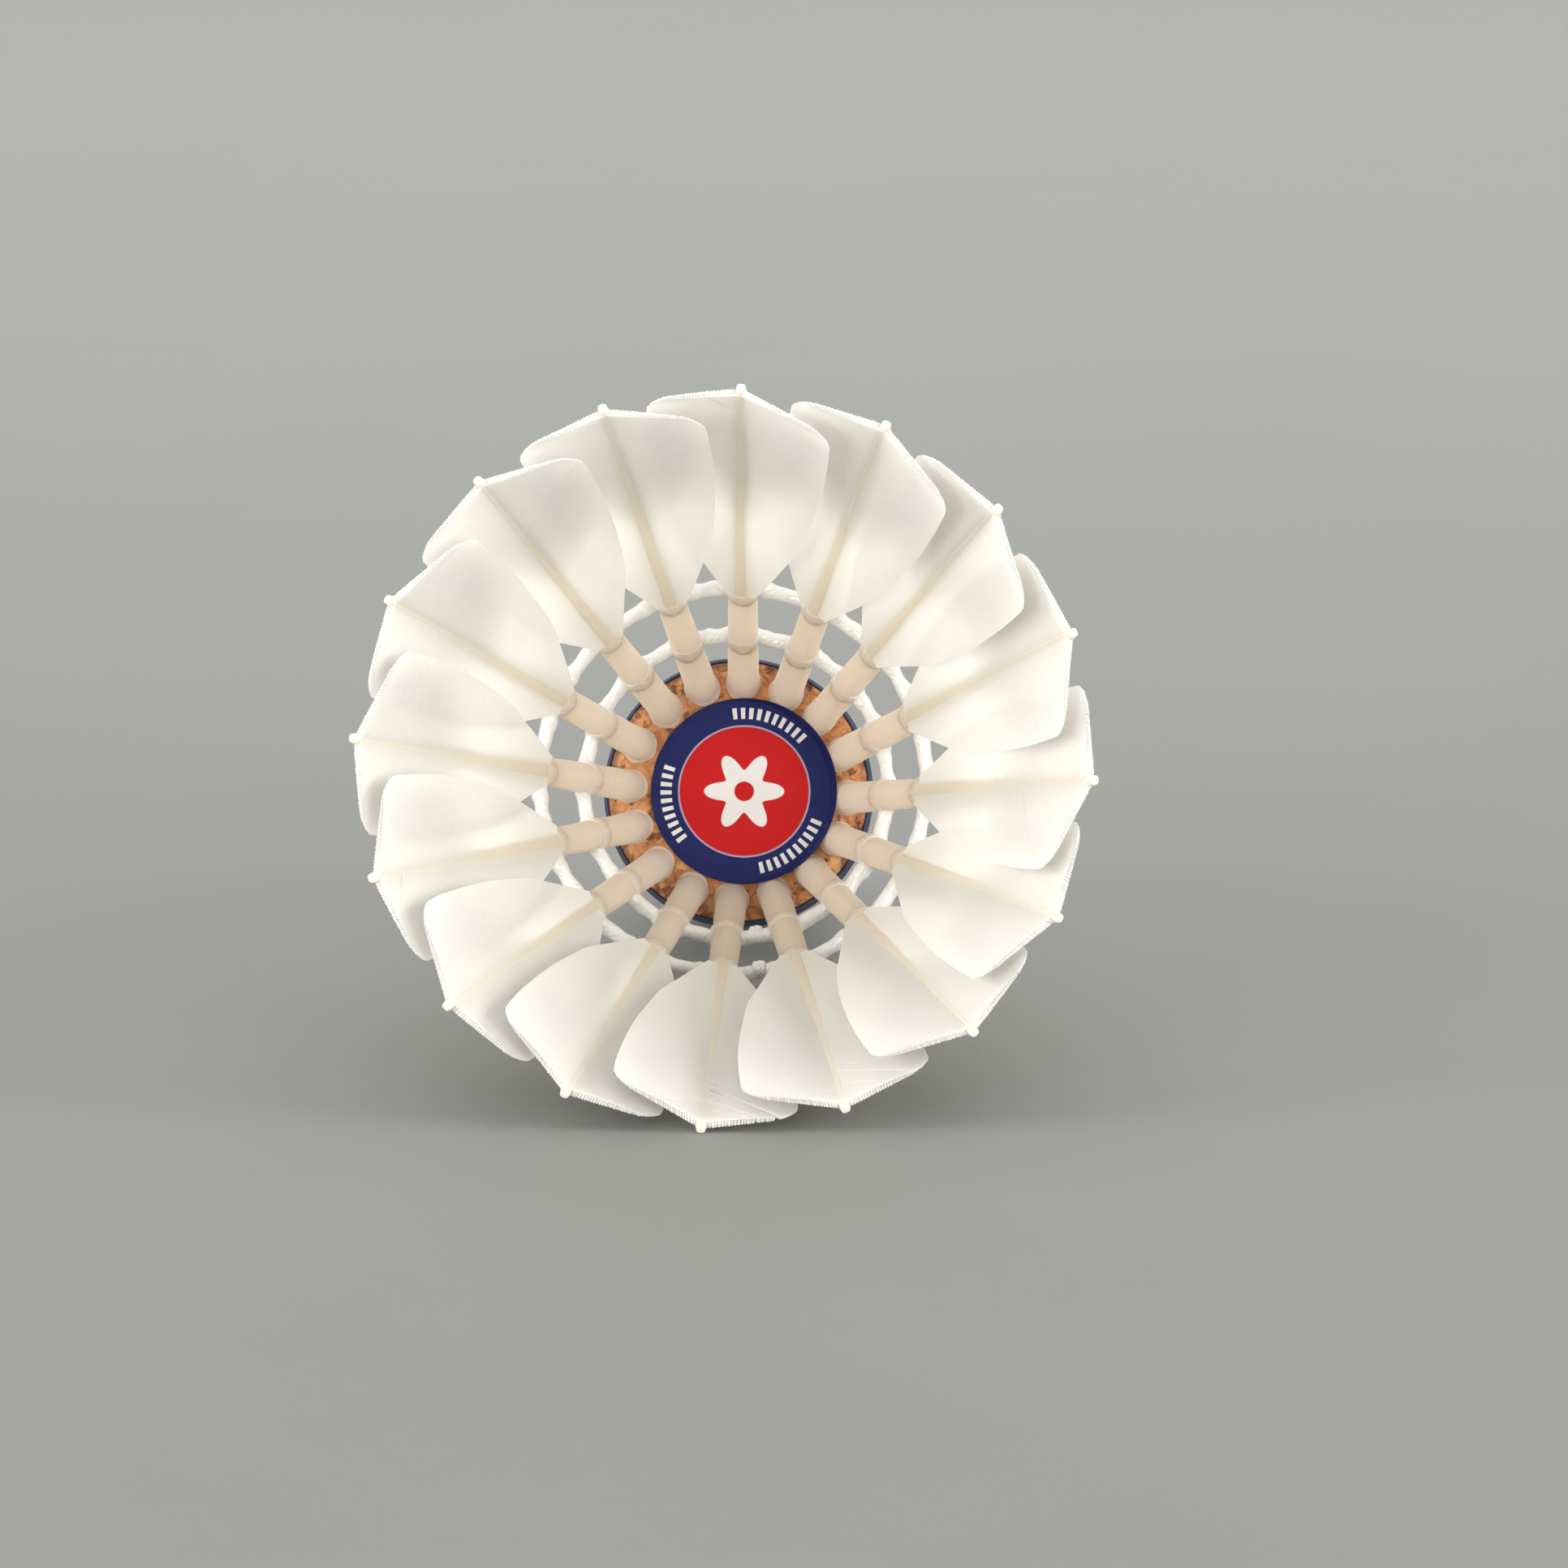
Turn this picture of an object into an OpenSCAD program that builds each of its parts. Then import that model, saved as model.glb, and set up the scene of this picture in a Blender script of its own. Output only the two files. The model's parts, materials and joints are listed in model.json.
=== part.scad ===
// Feather shuttlecock lying on its side: a layered cork base in a leather
// cover, and sixteen goose feathers glued into sockets and laced twice.
//
// Every sub-part is drawn in the shuttle's own frame: the origin is the middle
// of the cork's flat top, +Z runs along the axis towards the feather tips and
// +Y is the side that faces up. lay_down() then tips the whole shuttle onto
// its side, as it rests on a table: +Z up, the open end towards -Y.

/* [Cork base] */
// Diameter over the leather cover
base_d = 26.1; // [25:0.1:28]
// Height of the straight side, from the round nose to the flat top
side_h = 12; // [11:0.5:13]
// Thickness of the leather cover
cover_t = 0.35; // [0.25:0.05:0.5]
// Thickness of the granulated cork layer that holds the sockets
cap_h = 8.5; // [8:0.5:9.5]
// Thickness of the plain cork slice below it
slice_h = 2; // [1:0.5:2.5]
// Width of the ribbon round the top edge
ribbon_w = 5.5; // [4:0.5:6]
// Diameter of the paper label on the flat top
label_d = 18.2; // [16:0.2:18.4]
// How far the label was stuck off the middle, to the right
label_shift = 0.6; // [0:0.1:0.8]

/* [Feathers] */
// Number of feathers
feather_count = 16; // [16]
// Diameter of the circle that the tips lie on
tip_circle_d = 66; // [62:0.5:68]
// Feather length from the flat top to the tip
feather_l = 64; // [62:0.5:66]
// Diameter of the circle that the shafts leave the cork on
foot_circle_d = 21.4; // [21.2:0.1:21.8]
// Depth of a socket, along the shaft
socket_depth = 7; // [6:0.5:7]
// Shaft diameter at the cork
shaft_foot_d = 3.1; // [2.9:0.1:3.2]
// Shaft diameter where the vane begins
shaft_mid_d = 2.75; // [2.4:0.05:2.8]
// Shaft diameter at the tip
shaft_tip_d = 1.1; // [0.9:0.05:1.2]
// Vane length, from the tip down
vane_l = 40.5; // [38:0.5:40.5]
// Width of the outer half of a vane
outer_vane_w = 8.5; // [7:0.1:8.8]
// Width of the inner half of a vane
inner_vane_w = 8.9; // [7:0.1:9.2]
// Inward slope of the outer half
outer_slope = 4.5; // [2:0.5:6]
// Inward slope of the inner half
inner_slope = 24.5; // [23:0.5:27]
// Thickness of a vane, which is the depth of its barbs
vane_t = 0.5; // [0.3:0.05:0.6]
// How far hand setting throws a shaft off its even spacing, in degrees
setting_error = 0.45; // [0:0.05:0.6]

/* [Lacing] */
// Height of the lower thread ring, along the shafts
lower_thread = 10.8; // [10:0.1:13]
// Height of the upper thread ring, along the shafts
upper_thread = 21.7; // [20:0.1:21.8]
// Thickness of the glued thread between two shafts
thread_d = 1.1; // [0.9:0.05:1.2]
// Thickness of the double turn round a shaft
turn_t = 0.4; // [0.3:0.05:0.45]
// Height of the double turn, along the shaft
turn_h = 1.2; // [1:0.1:1.2]

/* [Rest] */
// Turn of the shuttle about its axis as it lies
roll = -2.9; // [-5:0.1:5]

/* [Hidden] */
$fn = 64;
base_r = base_d / 2;
cork_r = base_r - cover_t;
ribbon_t = 0.2;
ribbon_r = base_r + 0.15;
ribbon_lap = 2;                 // part of the ribbon above the leather's edge
nose_h = side_h + cork_r - cap_h - slice_h;
label_t = 0.15;
foot_r = foot_circle_d / 2;
tip_r = tip_circle_d / 2;
flare = asin((tip_r - foot_r) / feather_l);
glue_gap = 0.04;
root_r = shaft_foot_d / 2 - 0.06; // quill at the mouth of its socket
root_end_r = 1.1;               // quill at the bottom of its socket
lumen_r = 0.75;                 // hollow of the quill at its root
lumen_h = 9;                    // how far the hollow reaches above the cork
vane_end = feather_l - 0.7;     // the shaft's tip stands past the vane
vane_base = vane_end - vane_l;
vane_shift = 0.2;               // the barbs join the outer half of the shaft
corner_r = 2.4;
outline_steps = 14;
outer_shoulder = 33.5;          // where the straight trimmed edge begins, below the vane's end
inner_shoulder = 30.5;
trim_w = 1.5;                   // half-vane width left at its foot
nub_h = 0.5;
fit = 0.02;                     // clearance between faces that meet
feathers = [1 : feather_count];

function two_digits(k) = str(k < 10 ? "0" : "", k);
function shaft_name(k) = str("feather_shaft_", two_digits(k));
function vane_name(k) = str("feather_vane_", two_digits(k));

// Azimuth of a feather about the axis: even steps and a small setting error.
function azimuth(k) = 90 + roll + (k - 1) * 360 / feather_count + setting_error * sin(k * 105);

// Shaft radius at height h above the cork, along the shaft.
function shaft_r(h) = h < vane_base
    ? (shaft_foot_d + (shaft_mid_d - shaft_foot_d) * h / vane_base) / 2
    : (shaft_mid_d + (shaft_tip_d - shaft_mid_d) * (h - vane_base) / vane_l) / 2;

// Half-vane width at distance s below the vane's end: it narrows slowly at
// first and has lost 45% by the inner half's shoulder.
function vane_w(w, s) = w * (1 - 0.45 * pow(s / inner_shoulder, 1.9));

// Outline of a half vane: [across, height] points, round at the outer corner,
// with a straight edge from the shoulder to the foot.
function corner(w, a) =
    let (s = corner_r * (1 - sin(a)))
    [vane_w(w, s) - corner_r * (1 - cos(a)), vane_end - s];
function half_outline(w, shoulder) = concat(
    [[0, vane_end]],
    [for (a = [90 : -15 : 15]) corner(w, a)],
    [for (i = [0 : outline_steps])
        let (s = corner_r + (shoulder - corner_r) * i / outline_steps)
        [vane_w(w, s), vane_end - s]],
    [[trim_w, vane_base], [0, vane_base]]);

// A point of a feather's own frame (outward, sideways, along the shaft) in
// the shuttle's frame.
function from_feather(p, k) =
    let (r = foot_r + p.x * cos(flare) + p.z * sin(flare),
         z = -p.x * sin(flare) + p.z * cos(flare),
         a = azimuth(k))
    [r * cos(a) - p.y * sin(a), r * sin(a) + p.y * cos(a), z];

// Where the feathers reach furthest: both outlines and the round shaft tips.
rim_points = [for (k = feathers) each concat(
    [for (p = half_outline(outer_vane_w, outer_shoulder)) from_feather(
        [vane_shift + vane_t / 2 - p.x * sin(outer_slope), p.x * cos(outer_slope), p.y], k)],
    [for (p = half_outline(inner_vane_w, inner_shoulder)) from_feather(
        [vane_shift + vane_t / 2 - p.x * sin(inner_slope), -p.x * cos(inner_slope), p.y], k)],
    [for (a = [0 : 30 : 330]) from_feather(
        [shaft_tip_d / 2 * cos(a), shaft_tip_d / 2 * sin(a), feather_l - nub_h], k)])];

// The table touches the round nose and the lowest rim point, so the axis leans
// by the steepest tangent from the nose's sphere to any rim point.
function lean_to(p) = let (reach = norm([-p.y, p.z + side_h]))
    atan2(-p.y, p.z + side_h) - asin(base_r / reach);
lean = max([for (p = rim_points) lean_to(p)]);

// The shuttle's frame in the table's frame, before it is centred.
function tipped(p) = [
    p.x,
    p.y * sin(lean) - p.z * cos(lean),
    p.y * cos(lean) + p.z * sin(lean)];
rim = [for (p = rim_points) tipped(p)];
rim_x = [for (p = rim) p.x];
rim_y = [for (p = rim) p.y];
nose_y = side_h * cos(lean) + base_r;
table_z = -side_h * sin(lean) - base_r;
centre = [(min(rim_x) + max(rim_x)) / 2, (min(rim_y) + nose_y) / 2, table_z];

module lay_down() {
    translate(-centre) rotate([90 - lean, 0, 0]) children();
}

module at_feather(k) {
    rotate([0, 0, azimuth(k)]) translate([foot_r, 0, 0]) rotate([0, flare, 0]) children();
}

// The dome of solid natural cork.
module cork_nose() {
    color("burlywood") rotate_extrude()
        polygon(concat(
            [[0, -cap_h - slice_h], [cork_r, -cap_h - slice_h]],
            [for (a = [0 : 3 : 90]) [cork_r * cos(a), -side_h - cork_r * sin(a)]]));
}

// A slice of natural cork glued between the nose and the cap.
module cork_slice() {
    color("peru") translate([0, 0, -cap_h - slice_h]) cylinder(r = cork_r, h = slice_h);
}

// The granulated cork layer, with one blind socket for each quill.
module cork_cap() {
    color("sandybrown") difference() {
        translate([0, 0, -cap_h]) cylinder(r = cork_r, h = cap_h);
        for (k = feathers)
            at_feather(k) socket();
    }
}

// The space that a quill's root takes in the cork, with a gap for the glue.
module socket() {
    translate([0, 0, -socket_depth])
        cylinder(r1 = root_end_r + glue_gap, r2 = root_r + glue_gap, h = socket_depth);
    translate([0, 0, -glue_gap]) cylinder(r = root_r + glue_gap, h = 3);
}

// White leather drawn over the nose and up the side, open at the top.
module leather_cover() {
    cover_top = -ribbon_lap;
    color("white") rotate_extrude()
        polygon(concat(
            [[cork_r, cover_top], [base_r, cover_top]],
            [for (a = [0 : 3 : 90]) [base_r * cos(a), -side_h - base_r * sin(a)]],
            [for (a = [90 : -3 : 0]) [cork_r * cos(a), -side_h - cork_r * sin(a)]]));
}

// Dark ribbon over the leather's edge. Its top is pressed in onto the cork.
module ribbon_band() {
    lap_h = 0.8;                // height over which the ribbon steps inwards
    color("midnightblue") rotate_extrude()
        polygon([
            [base_r, -ribbon_w], [ribbon_r, -ribbon_w], [ribbon_r, -ribbon_lap],
            [cork_r + ribbon_t, -ribbon_lap + lap_h], [cork_r + ribbon_t, 0],
            [cork_r, 0], [cork_r, -ribbon_lap], [base_r, -ribbon_lap]]);
}

// Round paper label inside the circle of shafts, cut away where it meets them.
module label_disc(h) {
    translate([label_shift, 0, 0]) cylinder(d = label_d + 2 * fit, h = h);
}
module top_label() {
    color("firebrick") difference() {
        translate([label_shift, 0, 0]) cylinder(d = label_d, h = label_t);
        for (k = feathers)
            at_feather(k) translate([0, 0, -3]) cylinder(d = shaft_foot_d + fit, h = 6);
    }
}

// One feather shaft: a hollow quill below, a solid taper to a round end above.
module feather_shaft(k) {
    color("ivory") lay_down() at_feather(k) rotate_extrude()
        polygon([
            [lumen_r, -socket_depth + 0.1], [root_end_r, -socket_depth + 0.1], [root_r, 0], [root_r, 0.5],
            [shaft_foot_d / 2, 0.9], [shaft_mid_d / 2, vane_base],
            [shaft_tip_d / 2, vane_end], [shaft_tip_d / 2, feather_l - nub_h], [shaft_tip_d / 4, feather_l],
            [0, feather_l], [0, lumen_h], [lumen_r / 2, lumen_h - 2]]);
}

// One half of a vane: side 1 is the outer half, side -1 the inner half.
module half_vane(side, w, slope, shoulder) {
    translate([vane_shift, 0, 0]) rotate([0, 0, side * (90 + slope)]) rotate([90, 0, 0])
        translate([0, 0, -vane_t / 2]) linear_extrude(vane_t) polygon(half_outline(w, shoulder));
}

// Both halves of a vane, cut to lie against the shaft.
module feather_vane(k) {
    color("white") lay_down() at_feather(k) difference() {
        union() {
            half_vane(1, outer_vane_w, outer_slope, outer_shoulder);
            half_vane(-1, inner_vane_w, inner_slope, inner_shoulder);
        }
        translate([0, 0, vane_base - 1])
            cylinder(r1 = shaft_r(vane_base - 1) + fit, r2 = shaft_r(vane_end + 1) + fit, h = vane_l + 2);
    }
}

// Radius of the middle of the double turn round a shaft at height h.
function turn_r(h) = shaft_r(h - turn_h / 2) + turn_t / 2 + fit;

// Straight stretch of thread between two points.
module strand(from, to, d) {
    run = to - from;
    translate(from)
        rotate([0, acos(run.z / norm(run)), atan2(run.y, run.x)])
            cylinder(d = d, h = norm(run));
}

// Cross-section of the double turn: flat against the shaft, round above and below.
module turn_section() {
    lift = (turn_h - turn_t) / 2;
    square([turn_t, 2 * lift], center = true);
    for (side = [-1, 1])
        translate([0, side * lift]) circle(d = turn_t, $fn = 24);
}

// One lacing: a double turn round each shaft and a stretch to the next.
module thread_ring(h) {
    color("whitesmoke") for (k = feathers) {
        next = k == feather_count ? 1 : k + 1;
        side = [0, turn_r(h), h];
        at_feather(k) translate([0, 0, h]) rotate_extrude() translate([turn_r(h), 0]) turn_section();
        strand(from_feather(side, k), from_feather([0, -side.y, h], next), thread_d);
    }
}

// Barrel knot where a lacing is tied off, round the stretch after one shaft.
module thread_knot(h) {
    knot_shaft = 9;
    knot_l = 0.8;
    bore_r = thread_d / 2 + fit;
    from = from_feather([0, turn_r(h), h], knot_shaft);
    to = from_feather([0, -turn_r(h), h], knot_shaft + 1);
    run = to - from;
    color("whitesmoke") translate((from + to) / 2)
        rotate([0, acos(run.z / norm(run)), atan2(run.y, run.x)])
            rotate_extrude()
                polygon([
                    [bore_r, -knot_l / 2], [bore_r + 0.15, -knot_l / 2], [bore_r + 0.3, -knot_l / 4],
                    [bore_r + 0.3, knot_l / 4], [bore_r + 0.15, knot_l / 2], [bore_r, knot_l / 2]]);
}

// Glue collars on the shafts, just below a lacing.
module thread_glue(h) {
    collar_h = 0.6;
    top = h - turn_h / 2 - 0.05;
    color("gainsboro") for (k = feathers)
        at_feather(k) translate([0, 0, top - collar_h]) rotate_extrude()
            polygon([
                [shaft_r(top - collar_h) + fit, 0], [shaft_r(top - collar_h) + 0.1, 0],
                [shaft_r(top) + turn_t / 2, collar_h], [shaft_r(top) + fit, collar_h]]);
}

// Glue beads that seal the shafts into the sockets.
module socket_glue() {
    bead_h = 0.4;
    bead_t = 0.3;
    color("tan") difference() {
        intersection() {
            for (k = feathers)
                at_feather(k) translate([0, 0, -1]) cylinder(r = shaft_foot_d / 2 + bead_t, h = 3);
            cylinder(r = cork_r - 0.05, h = bead_h);
        }
        translate([0, 0, -1]) label_disc(3);
        for (k = feathers)
            at_feather(k) translate([0, 0, -3]) cylinder(d = shaft_foot_d + fit, h = 6);
    }
}

lay_down() cork_nose();
lay_down() cork_slice();
lay_down() cork_cap();
lay_down() leather_cover();
lay_down() ribbon_band();
lay_down() top_label();
lay_down() socket_glue();
lay_down() thread_ring(lower_thread);  // thread_ring_lower
lay_down() thread_ring(upper_thread);  // thread_ring_upper
lay_down() thread_knot(lower_thread);  // thread_knot_lower
lay_down() thread_knot(upper_thread);  // thread_knot_upper
lay_down() thread_glue(lower_thread);  // thread_glue_lower
lay_down() thread_glue(upper_thread);  // thread_glue_upper
for (k = feathers) {
    feather_shaft(k);
    feather_vane(k);
}
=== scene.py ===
# A feather shuttlecock for badminton, lying on its side on a pale table and
# seen into its open end. It is put together below in the order in which a
# shuttle is made: cork, cover, ribbon, label, quills, vanes and lacings.
import json
import math

import bmesh
import bpy
import numpy as np
from mathutils import Matrix, Vector


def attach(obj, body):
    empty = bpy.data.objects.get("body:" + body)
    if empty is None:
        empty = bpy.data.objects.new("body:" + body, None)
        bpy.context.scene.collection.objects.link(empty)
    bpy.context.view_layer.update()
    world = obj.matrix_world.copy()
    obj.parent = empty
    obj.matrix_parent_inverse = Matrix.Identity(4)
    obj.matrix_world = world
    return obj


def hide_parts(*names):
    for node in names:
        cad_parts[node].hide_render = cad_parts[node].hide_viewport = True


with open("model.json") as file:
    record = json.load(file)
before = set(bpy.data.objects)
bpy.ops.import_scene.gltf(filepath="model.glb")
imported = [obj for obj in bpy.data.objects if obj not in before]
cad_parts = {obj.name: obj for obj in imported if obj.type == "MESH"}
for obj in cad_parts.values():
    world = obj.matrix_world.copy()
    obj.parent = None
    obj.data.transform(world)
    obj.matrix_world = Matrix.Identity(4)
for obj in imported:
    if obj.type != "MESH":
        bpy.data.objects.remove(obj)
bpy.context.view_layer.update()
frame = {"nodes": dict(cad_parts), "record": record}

# ---------------------------------------------------------------- the setting
# The shuttle's own frame has its origin in the middle of the cork's flat top,
# its third axis along the shuttle to the tips and its second axis on the side
# that faces up. The cork's mount says how it lies in the row's frame.
MOUNT_DEPTH = 0.006
FLARE = math.asin((33.0 - 10.7) / 64.0)
cork_mount = frame["record"]["mounts"][0]
nose_way = np.array(cork_mount["axis"])
cork_top = np.array(cork_mount["pos_m"]) - MOUNT_DEPTH * nose_way
RIGHT = np.array([1.0, 0.0, 0.0])
ALONG = -nose_way
UPPER = np.cross(ALONG, RIGHT)


def in_place(x, y, z):
    """Millimetres along the shuttle's right, upper and long axes, as metres in
    the row's frame: the cork's top plus each distance times its axis."""
    x, y, z = np.broadcast_arrays(x, y, z)
    steps = x[..., None] * RIGHT + y[..., None] * UPPER + z[..., None] * ALONG
    return cork_top + 0.001 * steps


# The table is one wide pale sheet with a matt face. The camera looks a few
# degrees over the axis into the open end, from just over half a metre away.
VIEW_DISTANCE = 0.590
VIEW_WIDTH = 0.1392
VIEW_PAST_AXIS = (0.87, 2.95)
AIM_PAST_MIDDLE = (0.00537, -0.00237)
lean = math.degrees(math.asin(ALONG[2]))
view_side = math.radians(VIEW_PAST_AXIS[0])
view_height = math.radians(lean - VIEW_PAST_AXIS[1])
tip_circle = Vector(cork_top + ALONG * 0.064 * math.cos(FLARE))
back = Vector((
    math.sin(view_side) * math.cos(view_height),
    -math.cos(view_side) * math.cos(view_height),
    math.sin(view_height)))
turn = back.to_track_quat("Z", "Y").to_matrix()
aim = tip_circle + turn.col[0] * AIM_PAST_MIDDLE[0] + turn.col[1] * AIM_PAST_MIDDLE[1]
camera = bpy.data.objects.new("camera", bpy.data.cameras.new("camera"))
bpy.context.scene.collection.objects.link(camera)
camera.matrix_world = Matrix.Translation(aim + back * VIEW_DISTANCE) @ turn.to_4x4()
camera.data.sensor_width = 36
camera.data.lens = 36 * VIEW_DISTANCE / VIEW_WIDTH
camera.data.clip_start = 0.01
bpy.context.scene.camera = camera


# A large soft light hangs overhead, with two more at the sides and two low in
# front that shine into the open end, all in an even pale surround.
FACED_POINT = (0, 0, 0.03)


def soft_light(name, place, size, power, tint):
    """A square area light of that size and power at a place, turned to face
    the shuttle's middle."""
    lamp = bpy.data.lights.new(name, "AREA")
    lamp.size, lamp.energy, lamp.color = size, power, tint
    holder = bpy.data.objects.new(name, lamp)
    bpy.context.scene.collection.objects.link(holder)
    place = Vector(place)
    facing = (place - Vector(FACED_POINT)).to_track_quat("Z", "Y")
    holder.matrix_world = Matrix.Translation(place) @ facing.to_matrix().to_4x4()


soft_light("top_softbox", (0.0, 0.05, 0.85), 0.9, 2.6, (1.0, 0.99, 0.97))
soft_light("left_softbox", (-0.85, -0.25, 0.32), 0.40, 3.8, (1.0, 0.99, 0.98))
soft_light("right_softbox", (0.85, -0.20, 0.34), 0.40, 3.8, (1.0, 0.99, 0.98))
soft_light("front_left_fill", (-0.62, -0.95, 0.14), 0.5, 7.3, (1.0, 0.99, 0.98))
soft_light("front_right_fill", (0.62, -0.95, 0.14), 0.5, 7.3, (1.0, 0.99, 0.98))
bpy.context.scene.view_settings.view_transform = "Standard"

surround = bpy.data.worlds.new("surround")
bpy.context.scene.world = surround
surround.use_nodes = True
sky = surround.node_tree.nodes["Background"].inputs
sky["Color"].default_value = (0.95, 0.96, 0.95, 1.0)
sky["Strength"].default_value = 0.94


class Wire:
    """A value on its way through a material. Sums on it add Math nodes, and
    so does under(), which names any other operation."""

    def __init__(self, finish, socket):
        self.finish, self.socket = finish, socket

    def under(self, operation, *others):
        return self.finish.maths(operation, self, *others)

    def __add__(self, other):
        return self.finish.maths("ADD", self, other)

    def __sub__(self, other):
        return self.finish.maths("SUBTRACT", self, other)

    def __mul__(self, other):
        return self.finish.maths("MULTIPLY", self, other)

    def __truediv__(self, other):
        return self.finish.maths("DIVIDE", self, other)

    def __pow__(self, other):
        return self.finish.maths("POWER", self, other)

    def __radd__(self, other):
        return self.finish.maths("ADD", other, self)

    def __rsub__(self, other):
        return self.finish.maths("SUBTRACT", other, self)

    def __rmul__(self, other):
        return self.finish.maths("MULTIPLY", other, self)


class Finish:
    """A material being built: node() adds any node, and the rest are short
    names for the few that every finish here needs."""

    def __init__(self, name):
        self.material = bpy.data.materials.new(name)
        self.material.use_nodes = True
        self.tree = self.material.node_tree
        self.tree.nodes.clear()

    def node(self, kind, settings=None, sockets=None, out=0):
        """Adds a node, sets its settings, then gives its sockets (by name or
        number) their values or links, and returns one output."""
        made = self.tree.nodes.new(kind)
        for key, value in (settings or {}).items():
            if key == "stops":
                ramp = made.color_ramp.elements
                while len(ramp) < len(value):
                    ramp.new(0.5)
                for stop, (position, colour) in zip(ramp, value):
                    stop.position, stop.color = position, (*colour, 1.0)
            else:
                setattr(made, key, value)
        for key, value in (sockets or {}).items():
            if isinstance(value, Wire):
                self.tree.links.new(value.socket, made.inputs[key])
            elif isinstance(value, tuple) and len(value) == 3 and made.inputs[key].type == "RGBA":
                made.inputs[key].default_value = (*value, 1.0)
            else:
                made.inputs[key].default_value = value
        return Wire(self, made.outputs[out]) if len(made.outputs) else None

    def maths(self, operation, *values):
        return self.node("ShaderNodeMath", {"operation": operation}, dict(enumerate(values)))

    def attribute(self, name):
        """A number that the mesh carries at each of its points."""
        return self.node("ShaderNodeAttribute", {"attribute_name": name}, out="Fac")

    def cells(self, at, scale, feature="F1", out=0):
        """Voronoi cells: by default the distance to the nearest middle."""
        return self.node("ShaderNodeTexVoronoi", {"feature": feature}, {
            "Vector": at, "Scale": scale}, out)

    def place_mm(self):
        """Where a point is, in millimetres in the row's frame."""
        at = self.node("ShaderNodeTexCoord", out="Object")
        return self.node("ShaderNodeVectorMath", {"operation": "SCALE"}, {0: at, "Scale": 1000.0})

    def uv(self):
        """The piece's own UV map, as two values."""
        flat = self.node("ShaderNodeUVMap", {"uv_map": "lay"})
        split = self.node("ShaderNodeSeparateXYZ", None, {0: flat})
        return split, Wire(self, split.socket.node.outputs[1])

    def noise(self, at, scale, detail=3.0, rough=0.5):
        return self.node("ShaderNodeTexNoise", None, {
            "Vector": at, "Scale": scale, "Detail": detail, "Roughness": rough})

    def step(self, value, low, high):
        """Rises smoothly from 0 to 1 as value goes from low to high."""
        return self.node("ShaderNodeMapRange", {"interpolation_type": "SMOOTHSTEP"}, {
            "Value": value, "From Min": low, "From Max": high})

    def mix(self, share, low, high):
        """A colour between two, by share."""
        return self.node("ShaderNodeMix", {"data_type": "RGBA"}, {0: share, 6: low, 7: high}, out=2)

    def bump(self, height, distance, strength=1.0):
        return self.node("ShaderNodeBump", None, {
            "Height": height, "Distance": distance, "Strength": strength})

    def surface(self, show_through=None, **sockets):
        """The closing shader. Names are Principled sockets with _ for spaces,
        and show_through mixes in light from behind: (share, colour)."""
        sockets = {key.replace("_", " "): value for key, value in sockets.items()}
        shader = self.node("ShaderNodeBsdfPrincipled", None, sockets)
        if show_through:
            share, colour = show_through
            lit = {"Color": colour}
            if "Normal" in sockets:
                lit["Normal"] = sockets["Normal"]
            through = self.node("ShaderNodeBsdfTranslucent", None, lit)
            shader = self.node("ShaderNodeMixShader", None, {0: share, 1: shader, 2: through})
        self.node("ShaderNodeOutputMaterial", None, {"Surface": shader})
        return self.material


def grid_faces(rows, columns, start=0):
    """Quads between neighbouring points of a grid that is numbered row by row."""
    first = start + np.arange(rows - 1)[:, None] * columns + np.arange(columns - 1)[None, :]
    corners = (first, first + 1, first + columns + 1, first + columns)
    return np.stack(corners, -1).reshape(-1, 4)


def piece(name, material, slot, grids, replaced=(), crease=None):
    """One mesh object from closed grids. Each grid is (points, u, v), its
    points rows x columns x 3 in metres, and may add a mark, one number for
    each point. Points that meet are merged and the faces turned outwards.
    Edges that turn by more than crease degrees are shaded as sharp."""
    points = np.concatenate([grid[0].reshape(-1, 3) for grid in grids])
    lay = np.concatenate([
        np.stack(np.broadcast_arrays(grid[1], grid[2]), -1).reshape(-1, 2) for grid in grids])
    faces, start = [], 0
    for rows, columns, _axes in (grid[0].shape for grid in grids):
        faces.append(grid_faces(rows, columns, start))
        start += rows * columns
    faces = np.concatenate(faces)
    mesh = bpy.data.meshes.new(name)
    mesh.vertices.add(len(points))
    mesh.vertices.foreach_set("co", points.astype(np.float32).ravel())
    mesh.loops.add(faces.size)
    mesh.loops.foreach_set("vertex_index", faces.astype(np.int32).ravel())
    mesh.polygons.add(len(faces))
    mesh.polygons.foreach_set("loop_start", np.arange(0, faces.size, 4, dtype=np.int32))
    mesh.update(calc_edges=True)
    corner_lay = lay[faces.ravel()].astype(np.float32)
    mesh.uv_layers.new(name="lay").data.foreach_set("uv", corner_lay.ravel())
    if len(grids[0]) > 3:
        marks = np.concatenate([grid[3].ravel() for grid in grids]).astype(np.float32)
        mesh.attributes.new("mark", "FLOAT", "POINT").data.foreach_set("value", marks)
    work = bmesh.new()
    work.from_mesh(mesh)
    bmesh.ops.remove_doubles(work, verts=work.verts, dist=1e-7)
    bmesh.ops.recalc_face_normals(work, faces=work.faces)
    work.to_mesh(mesh)
    work.free()
    mesh.polygons.foreach_set("use_smooth", np.ones(len(mesh.polygons), bool))
    if crease:
        mesh.set_sharp_from_angle(angle=math.radians(crease))
    mesh.materials.append(material)
    made = bpy.data.objects.new(name, mesh)
    bpy.context.scene.collection.objects.link(made)
    if slot:
        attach(made, "root")
    if replaced:
        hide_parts(*replaced)
    return made


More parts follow.
